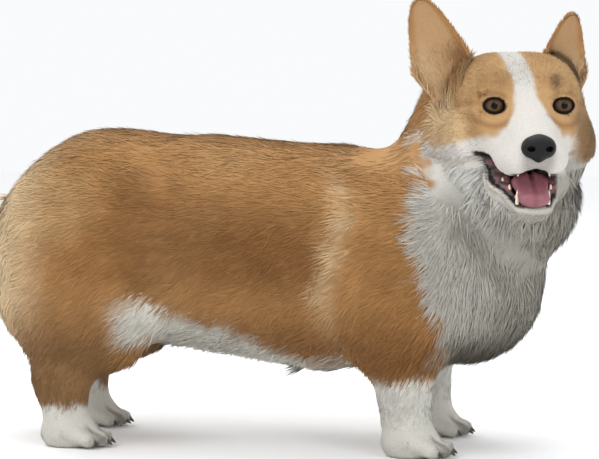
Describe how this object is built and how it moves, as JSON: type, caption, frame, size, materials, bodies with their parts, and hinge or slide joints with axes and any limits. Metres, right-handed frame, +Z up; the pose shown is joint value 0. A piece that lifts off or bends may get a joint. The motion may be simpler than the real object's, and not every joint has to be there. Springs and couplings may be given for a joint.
{
  "type": "pembroke welsh corgi",
  "caption": "Life-size still model of a standing pembroke welsh corgi, tan and white, head turned to its right, mouth open and tongue showing.",
  "frame": {"origin": "bottom centre of the bounding box, on the floor under the paws", "axes": "+X runs forward along the body to the chest, +Y to the dog's left, +Z up; the head is turned to -Y"},
  "size_m": [0.5524, 0.271, 0.399],
  "materials": {
    "tan_coat": "matte fur",
    "white_coat": "matte fur",
    "tongue": "moist",
    "nose": "moist leathery",
    "eye": "glossy"
  },
  "bodies": {
    "root": {"ear_left": "tan_coat", "ear_right": "tan_coat", "eye_left": "eye", "eye_right": "eye", "foreleg_left": "white_coat", "foreleg_right": "white_coat", "forepaw_left": "white_coat", "forepaw_right": "white_coat", "head": "tan_coat", "hindleg_left": "tan_coat", "hindleg_right": "tan_coat", "hindpaw_left": "white_coat", "hindpaw_right": "white_coat", "lower_jaw": "white_coat", "neck": "white_coat", "nose": "nose", "tail": "tan_coat", "tongue": "tongue", "torso": "tan_coat"}
  },
  "joints": []
}
